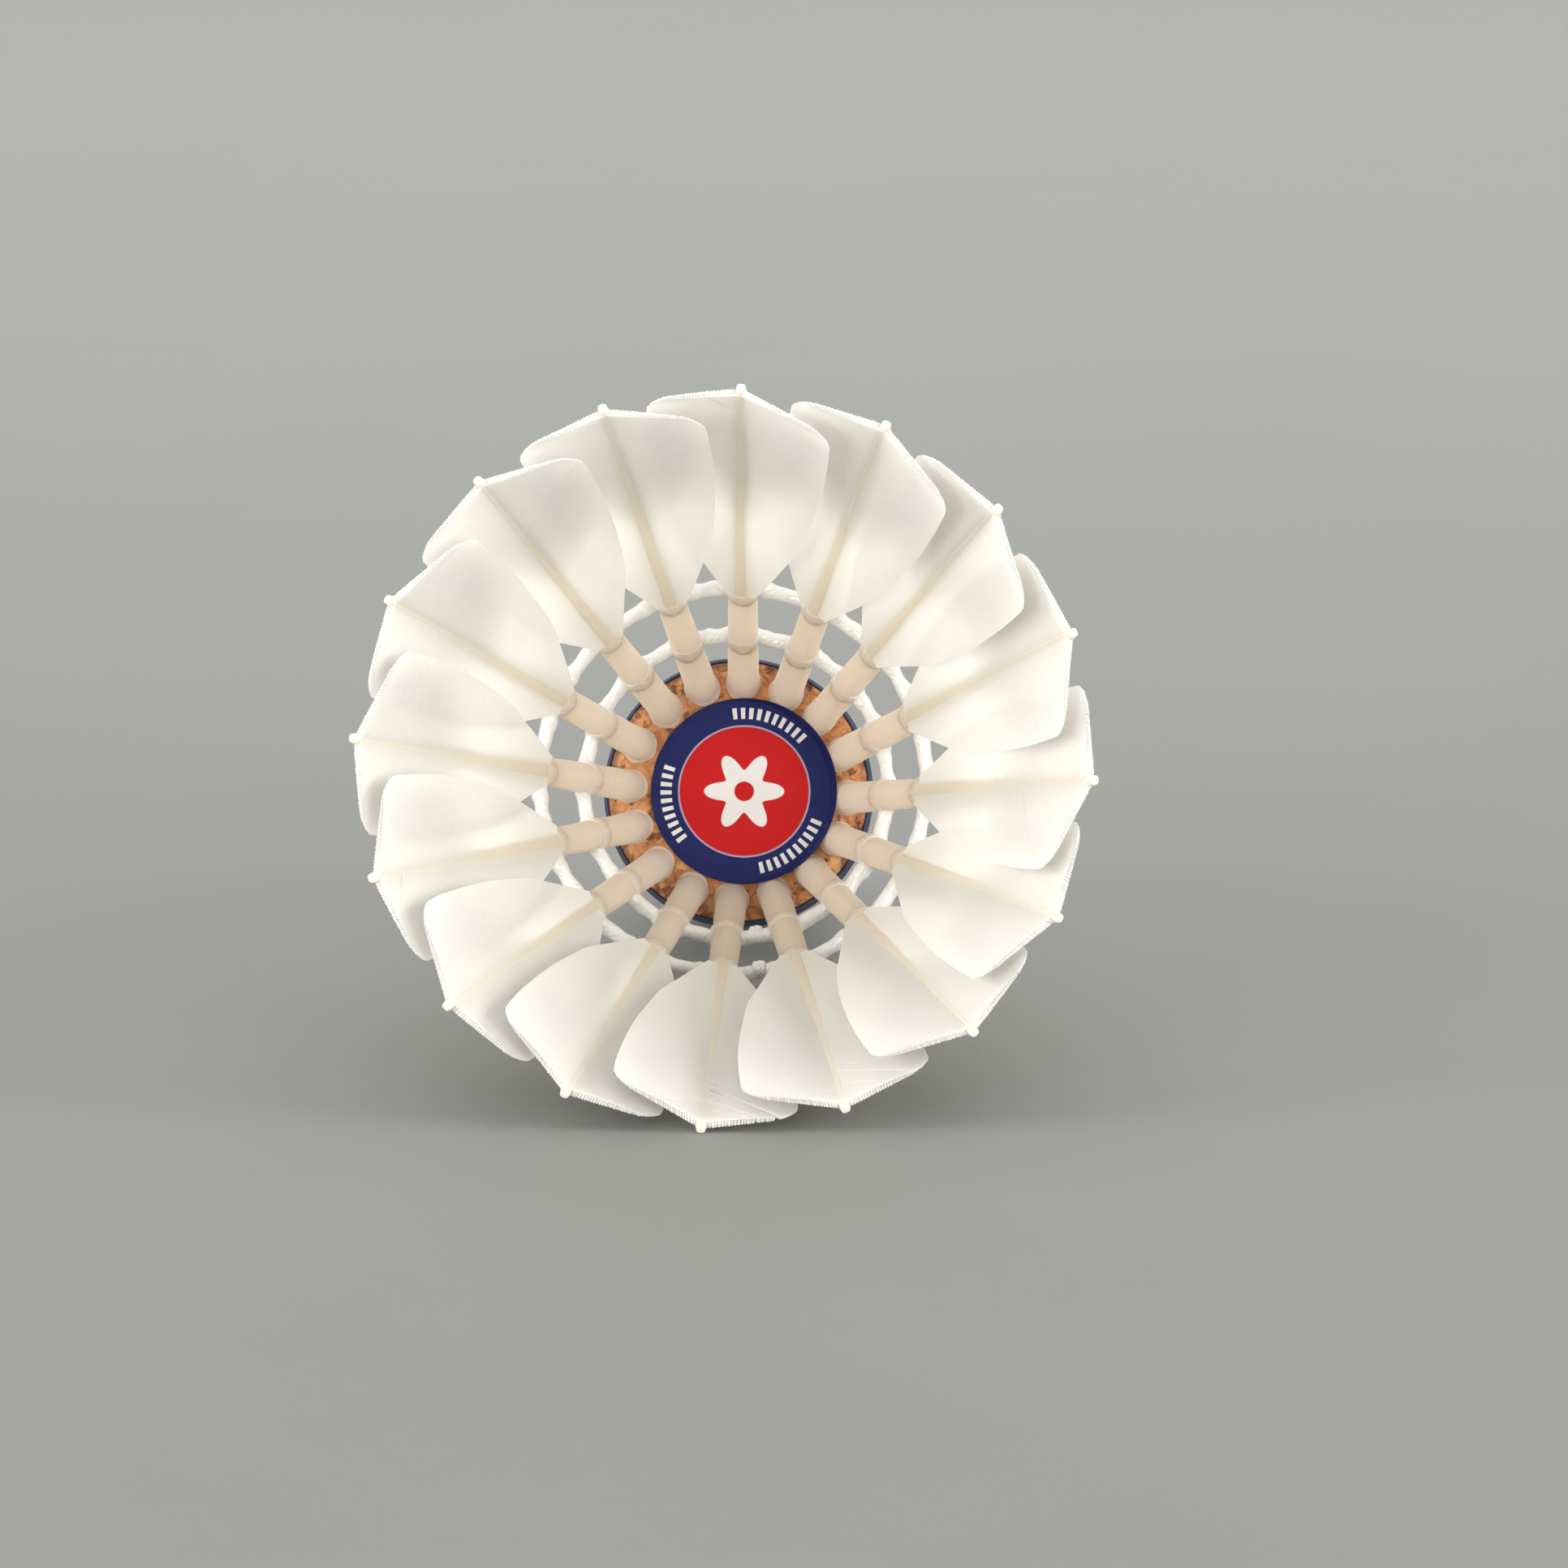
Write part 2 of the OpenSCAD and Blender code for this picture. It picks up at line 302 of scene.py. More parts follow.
def table():
    """A flat square sheet 12 m wide, 0.02 mm under the shuttle's lowest point,
    with painted shade: it is painted darker in front of the shuttle than behind it."""
    edge = np.linspace(-6.0, 6.0, 9)
    x, y = np.meshgrid(edge, edge)
    points = np.stack([x, y, np.full_like(x, -0.00002)], -1)
    paint = Finish("table_card")
    at = paint.place_mm()
    away = paint.node("ShaderNodeSeparateXYZ", None, {0: at}, out=1)
    # Painted shade: the sheet's colour darkens from behind the shuttle towards the front.
    card_with_shade = paint.mix(
        paint.step(away, -200.0, 1000.0), (0.196, 0.199, 0.189), (0.385, 0.390, 0.373))
    card_with_shade = paint.mix(0.04 * paint.noise(at, 0.02), card_with_shade, (0.60, 0.60, 0.58))
    made = piece("table", paint.surface(
        Base_Color=card_with_shade, Roughness=0.62, Specular_IOR_Level=0.25), None, [(points, x, y)])
    for face in made.data.polygons:
        if face.normal.z < 0:
            made.data.flip_normals()
            break


table()

# ------------------------------------------------------- cork nose and slice
# The nose is one piece of natural cork turned to a half ball, with a slice of
# the same cork glued on behind it. Both lie under the leather, so they keep
# the shape that they were turned to.
def natural_cork():
    """Warm tan cork with short dark lenticels along its growth."""
    cork = Finish("natural_cork")
    at = cork.place_mm()
    grain = cork.noise(at, 0.9, 5.0, 0.6)
    stretched = cork.node("ShaderNodeMapping", None, {"Vector": at, "Scale": (1.0, 0.3, 1.0)})
    dark = 1.0 - cork.step(cork.cells(stretched, 0.8), 0.10, 0.30)
    tan = cork.mix(grain, (0.46, 0.27, 0.13), (0.62, 0.40, 0.22))
    return cork.surface(
        Base_Color=cork.mix(dark, tan, (0.13, 0.06, 0.03)),
        Roughness=0.80 - 0.15 * grain,
        Normal=cork.bump(grain - dark, 0.0002, 0.6))


NOSE_CORK = natural_cork()
for name in ("cork_nose", "cork_slice"):
    for place in frame["nodes"][name].material_slots:
        place.material = NOSE_CORK

# ------------------------------------------------------------------ cork cap
# The cap is a disc of pressed cork granules. Sixteen sockets are drilled into
# its flat face, which is left bare between the label and the ribbon.
CORK_R = 12.7
CAP_H = 8.5
GRANULES_PER_MM = 0.62


def cap_cork():
    """Granules of different browns, each a cell, with dark joints and pits,
    and painted shade in places along the rim, next to the ribbon."""
    cork = Finish("granulated_cork")
    at = cork.place_mm()
    drift = cork.node("ShaderNodeTexNoise", None, {
        "Vector": at, "Scale": 1.1, "Detail": 2.0}, out=1)
    warped = cork.node("ShaderNodeVectorMath", {"operation": "ADD"}, {0: at, 1: drift})
    granule = cork.cells(warped, GRANULES_PER_MM, out=1)
    shade = cork.node("ShaderNodeSeparateColor", None, {0: granule})
    joint = cork.cells(warped, GRANULES_PER_MM, "DISTANCE_TO_EDGE")
    seam = 1.0 - cork.step(joint, 0.0, 0.20)
    pits = cork.step(cork.noise(at, 0.62, 3.0, 0.55), 0.55, 0.64)
    fine = cork.noise(at, 5.0, 4.0, 0.65)
    brown = cork.node("ShaderNodeValToRGB", {"stops": [
        (0.0, (0.38, 0.125, 0.040)), (0.35, (0.57, 0.235, 0.080)),
        (0.7, (0.66, 0.31, 0.115)), (1.0, (0.74, 0.40, 0.18))]}, {0: shade * 0.7 + fine * 0.3})
    joints_and_rim_shade = cork.mix(0.40 * seam, brown, (0.30, 0.11, 0.04))
    across, up = cork.uv()
    # Painted shade: patches along the rim, next to the ribbon, are painted dark brown.
    rim = cork.step((across * across + up * up) ** 0.5, 11.7, 12.5)
    shadowed = rim * cork.step(cork.noise(at, 0.45), 0.40, 0.58)
    joints_and_rim_shade = cork.mix(0.8 * shadowed, joints_and_rim_shade, (0.10, 0.035, 0.015))
    return cork.surface(
        Base_Color=cork.mix(0.80 * pits, joints_and_rim_shade, (0.120, 0.030, 0.012)),
        Roughness=0.78 - 0.2 * fine,
        Normal=cork.bump(0.6 * fine - seam - 1.5 * pits, 0.00025, 0.7))


def cap_shell():
    """A flat disc with a straight side: radius against depth, turned once. The
    face sinks where a low hash of sines says that a granule has come away."""
    turn_at = np.linspace(0, 2 * np.pi, 241)[None, :]
    radii = np.concatenate([
        np.linspace(0, CORK_R - 0.25, 44), [CORK_R - 0.08, CORK_R, CORK_R, CORK_R, 0]])
    depth = np.concatenate([np.zeros(44), [-0.07, -0.25, -4.0, -CAP_H, -CAP_H]])
    radii, depth = radii[:, None], depth[:, None]
    x, y = radii * np.cos(turn_at), radii * np.sin(turn_at)
    rough = (np.sin(2.9 * x + 1.3 * np.sin(2.1 * y)) * np.sin(3.3 * y + 1.7 * np.sin(1.7 * x))
             + 0.5 * np.sin(7.1 * x + 2.0 * y) * np.sin(6.3 * y - 2.6 * x))
    chips = 0.30 * np.clip(rough - 0.75, 0, 0.5)
    on_face = (depth == 0) & (radii > 0)
    sunk = np.where(on_face, chips + 0.012 * (1 + rough), 0)
    return in_place(x, y, depth - sunk), x, y


piece("cap_granules", cap_cork(), "granulated_cork", [cap_shell()], ["cork_cap"])

# ------------------------------------------------------------- leather cover
# White kid leather is stretched wet over the nose and glued. It is smooth with
# a fine grain, and gathers into faint pleats as it comes up the side.
COVER_R = 13.05
SIDE_H = 12.0


def turned_shell(profile, turns, swell):
    """A closed profile of radius against height, turned round the axis.
    swell(radius, height, turn) moves each point outwards."""
    radius, height = profile[:, 0][:, None], profile[:, 1][:, None]
    angle = np.linspace(0, 2 * np.pi, turns)[None, :]
    radius = radius + swell(radius, height, angle)
    run = np.concatenate([[0], np.cumsum(np.hypot(*np.diff(profile, axis=0).T))])[:, None]
    return (in_place(radius * np.cos(angle), radius * np.sin(angle), height + 0 * angle),
            angle / (2 * np.pi), run)


def cover_profile():
    """Up the outside from the pole of the nose to the edge under the ribbon,
    over it and back down the inside."""
    fall = np.radians(np.linspace(90, 0, 60))
    out = np.stack([COVER_R * np.cos(fall), -SIDE_H - COVER_R * np.sin(fall)], -1)
    side = np.stack([np.full(36, COVER_R), np.linspace(-SIDE_H + 0.2, -2.0, 36)], -1)
    inner_side = np.stack([np.full(8, CORK_R), np.linspace(-2.0, -SIDE_H, 8)], -1)
    inner = np.stack([CORK_R * np.cos(fall[::-1]), -SIDE_H - CORK_R * np.sin(fall[::-1])], -1)
    return np.concatenate([out, side, inner_side, inner])


def cover_swell(radius, height, angle):
    """Pleats near the ribbon fade out down the side, and a slow unevenness
    runs over the rest. Only the outside face moves, and only inwards."""
    from_middle = np.hypot(radius, np.minimum(height + SIDE_H, 0))
    outside = np.clip((from_middle - CORK_R - 0.1) * 5, 0, 1)
    near_edge = np.exp(-np.clip(-5.0 - height, 0, None) / 2.6) * (height > -SIDE_H)
    pleats = 0.5 + 0.5 * np.sin(23 * angle + 1.5 * np.sin(3 * angle) + 0.15 * height)
    slow = 0.5 + 0.5 * np.sin(3 * angle + 0.35 * height) * np.sin(2 * angle - 0.25 * height)
    return -outside * (0.06 * pleats ** 3 * near_edge + 0.035 * slow) * (radius > 0.5)


def kid_leather():
    """Off-white grain: small cells with fine creases, a soft satin sheen."""
    hide = Finish("kid_leather")
    at = hide.place_mm()
    crease = 1.0 - hide.step(hide.cells(at, 3.4, "DISTANCE_TO_EDGE"), 0.0, 0.12)
    pores = hide.step(hide.noise(at, 6.0, 2.0), 0.62, 0.72)
    broad = hide.noise(at, 0.16, 3.0)
    tint = hide.mix(broad, (0.77, 0.75, 0.70), (0.84, 0.83, 0.79))
    return hide.surface(
        Base_Color=hide.mix(0.22 * crease + 0.2 * pores, tint, (0.55, 0.51, 0.44)),
        Roughness=0.42 + 0.2 * crease,
        Normal=hide.bump(broad * 0.6 - 0.35 * crease - 0.4 * pores, 0.0002, 0.5),
        Coat_Weight=0.12, Coat_Roughness=0.35)


piece("cover_leather", kid_leather(), "cover_leather",
      [turned_shell(cover_profile(), 193, cover_swell)], ["leather_cover"])

# -------------------------------------------------------------------- ribbon
# A dark blue woven ribbon is glued over the leather's edge, lapped at the back
# where its ends meet, and its upper edge is pressed in onto the cork.
RIBBON_R = 13.2
RIBBON_W = 5.5


def ribbon_profile():
    """Out from under, up the face with rounded selvedges, and in at the top."""
    face = np.linspace(-RIBBON_W + 0.12, -2.05, 18)
    outer = [(RIBBON_R, z) for z in face] + [
        (RIBBON_R - 0.05, -1.85), (RIBBON_R - 0.16, -1.45), (12.93, -1.15), (12.90, -0.6),
        (12.90, -0.12), (12.87, -0.02), (12.82, 0.02), (12.76, 0.0), (12.71, -0.06)]
    inner = [(12.71, -1.9), (13.06, -2.1), (13.06, -RIBBON_W + 0.05)]
    low = [(13.08, -RIBBON_W), (RIBBON_R - 0.06, -RIBBON_W), (RIBBON_R - 0.01, -RIBBON_W + 0.05)]
    return np.array(low + outer + inner + [low[0]])


def ribbon_swell(radius, height, angle):
    """Ribs of the weave, a thread high, and the step where the ends lap."""
    face = (radius > 12.85) * (height > -RIBBON_W + 0.02)
    lap = 0.06 * np.clip((np.sin(angle + 1.1) - 0.965) * 40, 0, 1)
    return face * (lap + 0.010 * np.sin(180 * angle))


def ribbon_weave():
    """Satin ribs round the band, crossed by the weft, with a firm selvedge."""
    silk = Finish("ribbon_weave")
    around, up = silk.uv()
    weave = (around * (720 * math.pi)).under("SINE") * (up * 38.0).under("SINE")
    at = silk.place_mm()
    rubbed = silk.step(silk.noise(at, 0.5, 4.0), 0.52, 0.75)
    deep = silk.mix(0.5 + 0.5 * weave, (0.012, 0.016, 0.040), (0.032, 0.045, 0.100))
    return silk.surface(
        Base_Color=silk.mix(0.12 * rubbed, deep, (0.10, 0.13, 0.20)),
        Roughness=0.62 + 0.12 * weave, Specular_IOR_Level=0.25,
        Sheen_Weight=0.08, Sheen_Roughness=0.4,
        Normal=silk.bump(weave, 0.00004, 0.8))


piece("ribbon_wrap", ribbon_weave(), "ribbon",
      [turned_shell(ribbon_profile(), 721, ribbon_swell)], ["ribbon_band"])

# --------------------------------------------------------------------- label
# A round printed label of coated paper, stuck a little to the right, so that
# its edge rides up against the shafts there.
LABEL_R = 9.1
LABEL_X = 0.6
BEND_CIRCLE_R = 8.88
BEND_R = 0.15
GROUPS = 3
GROUP_TURN = 110
STROKES = 60


def label_sheet():
    """A thin disc, a top and a bottom face joined at the rim. Past a circle
    just inside the shafts it turns up a slope as steep as they are. Its mark
    is 1 on the underside, which is plain paper."""
    rings = np.concatenate([np.linspace(0, 0.88, 20), np.linspace(0.89, 1, 28)])
    rings = np.concatenate([rings, rings[::-1]])[:, None]
    angle = np.linspace(0, 2 * np.pi, 145)[None, :]
    x, y = LABEL_R * rings * np.cos(angle), LABEL_R * rings * np.sin(angle)
    past = np.clip(np.hypot(LABEL_X + x, y) - BEND_CIRCLE_R, 0, None)
    curl = (np.hypot(past, BEND_R) - BEND_R) / math.tan(FLARE)
    bubble = 0.05 * np.exp(-((x + 2.0) ** 2 + (y - 3.0) ** 2) / 9) + 0.04 * np.exp(
        -((x - 2.5) ** 2 + (y + 3.5) ** 2) / 5)
    row = np.arange(len(rings))[:, None]
    under = np.where(row < len(rings) / 2, 0.0, 1.0) + 0 * angle
    thick = 0.12 - 0.09 * under
    return in_place(LABEL_X + x, y, thick + curl + bubble), x / LABEL_R, y / LABEL_R, under


def label_print():
    """A red disc in a blue ring with a pale line between them. Three groups of
    short strokes stand in the ring and a plain rosette in the middle."""
    ink = Finish("label_print")
    across, up = ink.uv()
    radius = (across * across + up * up) ** 0.5
    angle = up.under("ARCTAN2", across)
    turned = angle + 2 * math.pi
    groups = (turned + math.radians(GROUP_TURN)) / (2 * math.pi / GROUPS)
    group = 1.0 - ink.step((groups.under("FRACT") - 0.5).under("ABSOLUTE"), 0.250, 0.254)
    strokes = turned * (STROKES / (2 * math.pi)) + 0.33
    bar = 1.0 - ink.step((strokes.under("FRACT") - 0.5).under("ABSOLUTE"), 0.24, 0.28)
    band = ink.step(radius, 0.775, 0.785) * (1.0 - ink.step(radius, 0.895, 0.905))
    petal = 0.33 + 0.10 * (angle * 6.0).under("COSINE")
    rosette = (1.0 - ink.step(radius - petal, -0.008, 0.008)) * ink.step(radius, 0.100, 0.112)
    white = (group * bar * band).under("MAXIMUM", rosette)
    disc = 1.0 - ink.step(radius, 0.690, 0.697)
    line = ink.step(radius, 0.690, 0.697) * (1.0 - ink.step(radius, 0.708, 0.716))
    field = ink.mix(disc, (0.007, 0.013, 0.100), (0.520, 0.004, 0.004))
    field = ink.mix(0.75 * line, field, (0.55, 0.45, 0.58))
    fleck = ink.noise(ink.place_mm(), 9.0, 2.0)
    printed = ink.mix(white, field, (0.78, 0.76, 0.74))
    printed = ink.mix(ink.attribute("mark"), printed, (0.80, 0.79, 0.77))
    return ink.surface(
        Base_Color=ink.mix(0.02 * fleck, printed, (0.80, 0.78, 0.80)),
        Roughness=0.48 + 0.12 * fleck, Specular_IOR_Level=0.10,
        Coat_Weight=0.03, Coat_Roughness=0.2,
        Normal=ink.bump(fleck + 0.5 * white, 0.00003, 0.35))


piece("label_disc", label_print(), "label_paper", [label_sheet()], ["top_label"])

# ------------------------------------------------------------ feather shafts
# Each shaft is one goose quill: a round horn tube glued into its socket, which
# grows square towards the tip, with a shallow groove on its inner face and
# white pith showing where it is cut off past the vane.
FEATHERS = 16
FOOT_CIRCLE_R = 10.7
FEATHER_L = 64.0
VANE_L = 40.5
VANE_END = FEATHER_L - 0.7
VANE_BASE = VANE_END - VANE_L
SHAFT_FOOT_R = 1.55
SHAFT_MID_R = 1.375
SHAFT_TIP_R = 0.55
SHAFT_UV_ROUND = 10
FIRST_FEATHER = 90 - 2.9
SETTING_ERROR = 0.45


def feather_angle(k):
    """Azimuth of a feather: even steps, and the small error of hand setting."""
    error = SETTING_ERROR * math.sin(math.radians(105 * k))
    return math.radians(FIRST_FEATHER + (k - 1) * 360 / FEATHERS + error)


def on_feather(k, out, side, along):
    """A feather's own outward, sideways and lengthwise millimetres as metres
    in the row's frame: tipped out by the flare, then turned to its azimuth."""
    radius = FOOT_CIRCLE_R + out * math.cos(FLARE) + along * math.sin(FLARE)
    height = along * math.cos(FLARE) - out * math.sin(FLARE)
    c, s = math.cos(feather_angle(k)), math.sin(feather_angle(k))
    return in_place(radius * c - side * s, radius * s + side * c, height)


def shaft_r(along):
    """Half the thickness: a slow taper to the vane, a quicker one to the tip."""
    to_vane = np.clip(along, 0, VANE_BASE) / VANE_BASE
    to_tip = np.clip(along - VANE_BASE, 0, VANE_L) / VANE_L
    low = SHAFT_FOOT_R + (SHAFT_MID_R - SHAFT_FOOT_R) * to_vane
    return low + (SHAFT_TIP_R - SHAFT_MID_R) * to_tip


def shaft_tube(k):
    """A cross-section that goes from a circle to a rounded square, carried up
    the shaft: radius over the n-th root of |cos|^n + |sin|^n, n rising from 2
    to 3.25, less a shallow groove on the inner side. The whole bows a little
    and wavers by about one part in a hundred."""
    dice = np.random.default_rng(100 + k)
    phases = dice.uniform(0, 6.28, 4)
    rings = np.concatenate([
        [-6.9, -6.9, -4.0, -1.0], np.linspace(0, 1.0, 6), np.linspace(1.6, VANE_BASE, 34),
        np.linspace(VANE_BASE + 0.8, VANE_END - 0.3, 52), [VANE_END - 0.1, VANE_END + 0.05],
        [FEATHER_L - 0.22, FEATHER_L - 0.06, FEATHER_L, FEATHER_L]])
    scale = np.ones(len(rings))
    scale[:4] = [0.0, 0.70, 0.80, 0.90]
    scale[-6:] = [0.90, 0.82, 0.79, 0.74, 0.52, 0.0]
    rings, scale = rings[:, None], scale[:, None]
    angle = np.linspace(0, 2 * np.pi, 33)[None, :]
    squareness = 2.0 + 0.25 * np.clip((rings - 14) / 30, 0, 1) + np.clip(rings - VANE_END, 0, 1)
    c, s = np.cos(angle), np.sin(angle)
    reach = (np.abs(c) ** squareness + np.abs(s) ** squareness) ** (-1 / squareness)
    groove = 0.10 * np.clip((rings - 26) / 14, 0, 1) * np.exp(-((angle - np.pi) / 0.30) ** 2)
    wave = 1 + 0.012 * np.sin(0.9 * rings + phases[0]) * np.sin(0.31 * rings + phases[1])
    size = shaft_r(rings) * scale * wave * (reach - groove * (scale > 0.9))
    climb = np.clip(rings, 0, FEATHER_L) / FEATHER_L
    bow = 0.10 * np.sin(np.pi * climb + 0.3 * phases[2] / 6.28) * (rings > 0)
    out, side = size * c + bow * 0.4, size * s + 0.5 * bow * math.sin(phases[3])
    points = on_feather(k, out, side, rings + 0 * c)
    return points, angle / (2 * np.pi) * SHAFT_UV_ROUND, rings


def quill_horn():
    """Cream horn, pinker where it is hollow and yellower under the vane, with
    fine lengthwise streaks, and white pith at the cut end."""
    horn = Finish("quill_horn")
    around, along = horn.uv()
    at = horn.place_mm()
    blotch = horn.noise(at, 0.22, 3.0, 0.55)
    streak_at = horn.node("ShaderNodeCombineXYZ", None, {0: around * 3.0, 1: along * 0.10})
    streaks = horn.noise(streak_at, 2.2, 3.0)
    tone = horn.node("ShaderNodeValToRGB", {"stops": [
        (0.0, (0.85, 0.785, 0.71)), (0.12, (0.85, 0.775, 0.69)), (0.26, (0.82, 0.745, 0.64)),
        (0.37, (0.90, 0.84, 0.70)), (0.70, (0.96, 0.93, 0.82)), (1.0, (0.97, 0.95, 0.88))]},
        {0: along / FEATHER_L + 0.06 * (blotch - 0.5)})
    facing_in = 0.5 - 0.5 * (around * (2 * math.pi / SHAFT_UV_ROUND)).under("COSINE")
    hollow = horn.step(along, 3.0, 7.0) * (1.0 - horn.step(along, 20.0, 25.0))
    tone = horn.mix(0.55 * facing_in ** 2 * hollow, tone, (0.88, 0.71, 0.58))
    tone = horn.mix(0.25 * horn.step(streaks, 0.45, 0.75), tone, (0.84, 0.75, 0.60))
    pith = horn.step(along, VANE_END - 0.15, VANE_END + 0.1)
    return horn.surface(
        show_through=(0.50, (0.97, 0.91, 0.81)),
        Base_Color=horn.mix(pith, tone, (0.86, 0.85, 0.82)),
        Roughness=0.40 + 0.3 * pith + 0.1 * streaks,
        Normal=horn.bump(streaks + 0.5 * blotch, 0.00006, 0.5),
        Coat_Weight=0.10, Coat_Roughness=0.3)


HORN = quill_horn()
for k in range(1, FEATHERS + 1):
    piece(f"quill_{k:02d}", HORN, "feather_shaft", [shaft_tube(k)], [f"feather_shaft_{k:02d}"])

# ------------------------------------------------------------- feather vanes
# A vane is a sheet of barbs that grow out of both sides of the shaft and hook
# together. The barbs stand deep on the outer face, and where the vane is cut
# straight across at the tip their ends show as a row of fine teeth.
BARBS = 138
BARB_ROWS = np.array([0.26, 0.36, 0.66, 0.76])
BARB_RISE = np.array([0.0, 1.0, 1.0, 0.0])
RIDGE_DEPTH = 0.56
RIDGE_TOP = 12.0
RIDGE_FADE = 8.0
CORNER_R = 2.4
TRIM_W = 1.5
NARROWED_BY = 0.45
NARROWED_AT = 30.5
HALVES = {
    "outer": dict(side=1, width=8.5, shoulder=33.5, slope=(9.0, 1.5), barb_fade=8.2),
    "inner": dict(side=-1, width=8.9, shoulder=30.5, slope=(27.0, 20.5), barb_fade=8.9)}
SPLITS = {
    (1, "outer"): [127], (3, "inner"): [96], (6, "outer"): [122],
    (9, "outer"): [106, 111, 115, 120, 126], (9, "inner"): [121],
    (10, "outer"): [104, 111, 121], (10, "inner"): [126], (13, "inner"): [88]}
RUFFLED = {(9, "outer"): 3.0}


def half_width(s, width, shoulder):
    """Half-vane width at s below the cut end: a slow curve to the shoulder, a
    straight trimmed edge to the foot, and a round corner at the top."""
    law = width * (1 - NARROWED_BY * (np.clip(s, 0, shoulder) / NARROWED_AT) ** 1.9)
    trimmed = law + (TRIM_W - law) * np.clip((s - shoulder) / (VANE_L - shoulder), 0, 1)
    lift = np.clip(1 - s / CORNER_R, 0, 1)
    return trimmed - CORNER_R * (1 - np.sqrt(1 - lift ** 2))


def barb_run(start_w, start_h, angle, width, shoulder):
    """How far each barb runs before it meets the vane's outline, found by
    halving the step forty times."""
    low, high = np.zeros_like(start_w), np.full_like(start_w, 40.0)
    for _ in range(40):
        middle = (low + high) / 2
        w, h = start_w + middle * np.sin(angle), start_h + middle * np.cos(angle)
        past = (h > VANE_END) | (w > half_width(VANE_END - h, width, shoulder))
        low, high = np.where(past, low, middle), np.where(past, middle, high)
    return low


def half_vane(k, name):
    """Closed shells of one half, one for each part between two splits. Rows
    run along the barbs, four to a barb (valley, ridge, ridge, valley), and
    columns from the shaft to the outline. The sheet slopes inwards by an angle
    that falls off across it, and its mark is 1 in the gaps between barb ends,
    where the vane's material paints shade."""
    half = HALVES[name]
    dice = np.random.default_rng(1000 + 10 * k + half["side"])
    phases = dice.uniform(0, 6.28, 6)
    tilt = dice.normal(0, 0.7)
    length = TRIM_W + VANE_L
    row = np.arange(4 * BARBS)
    barb = row // 4
    along_row = (barb + BARB_ROWS[row % 4]) * length / BARBS
    ridge = BARB_RISE[row % 4]
    ragged = dice.normal(0, 0.035, BARBS)[barb]
    start_w = np.clip(TRIM_W - along_row, 0, None)
    start_h = VANE_BASE + np.clip(along_row - TRIM_W, 0, None)
    angle = np.radians(17.5 + 27 * (along_row / length) ** 0.8)
    shells = []
    cuts = [0] + SPLITS.get((k, name), []) + [BARBS]
    fan = dice.uniform(0.35, 0.8, len(cuts)) * RUFFLED.get((k, name), 1.0)
    for part, (first, last) in enumerate(zip(cuts[:-1], cuts[1:])):
        use = (barb >= first) & (barb < last)
        lean_by = fan[part] * (0.5 if part % 2 else -0.5) if len(cuts) > 2 else 0.0
        turn_by = angle[use] + np.radians(lean_by)
        run = barb_run(start_w[use], start_h[use], turn_by, half["width"], half["shoulder"])
        run = np.clip(run + ragged[use] * (run > 1), 0.0, None)
        share = np.array([0, .05, .12, .22, .34, .47, .60, .72, .83, .92, .97, 1.0])[None, :]
        w = start_w[use][:, None] + run[:, None] * share * np.sin(turn_by)[:, None]
        h = start_h[use][:, None] + run[:, None] * share * np.cos(turn_by)[:, None]
        near, far = half["slope"]
        slope = np.radians(near + tilt + (far - near) * w / 18)
        thick = shaft_r(h)
        root = -thick * (0.68 + 0.11 * np.exp(-np.clip(w - 0.6 * thick, 0, None) / 0.35))
        waves = 0.10 * np.sin(h / 5.5 + phases[0]) + 0.05 * np.sin(h / 2.1 + phases[1] + 0.3 * w)
        ripple = waves * (w / 8) ** 1.3
        curl = 0.35 * (phases[2] / 6.28 - 0.4) * (w / 9) ** 3
        front = root - w * np.sin(slope) + ripple + curl
        side = half["side"] * w * np.cos(slope)
        up = ridge[use][:, None]
        lofty = np.clip((h[:, -1:] - (VANE_END - RIDGE_TOP)) / RIDGE_FADE, 0, 1)
        depth = RIDGE_DEPTH * lofty * np.clip(1 - (w / half["barb_fade"]) ** 2.2, 0, 1) + 0.02
        inner_face = front - 0.010 * up * lofty
        outer_face = front + 0.045 + 0.055 * np.clip(1 - w / 6, 0, 1) + up * depth
        loop = np.concatenate([inner_face, outer_face[:, ::-1], inner_face[:, :1]], 1)
        # The mark for painted shade: valleys on the outer face at the very ends of the barbs.
        valley = (1 - up) * np.clip(depth / 0.25, 0, 1) * np.clip((share - 0.95) / 0.05, 0, 1)
        groove = np.concatenate([0 * valley, valley[:, ::-1], 0 * valley[:, :1]], 1)
        loop_side, loop_h, loop_w = (
            np.concatenate([sheet, sheet[:, ::-1], sheet[:, :1]], 1) for sheet in (side, h, w))
        loop, loop_side, loop_h = (np.concatenate([
            0 * lap[:1] + lap[0].mean(), lap, 0 * lap[-1:] + lap[-1].mean()])
            for lap in (loop, loop_side, loop_h))
        loop_w, groove = (
            np.concatenate([lap[:1], lap, lap[-1:]]) for lap in (loop_w, groove))
        points = on_feather(k, loop, loop_side, loop_h)
        shells.append((points, half["side"] * loop_w, loop_h, groove))
    return shells


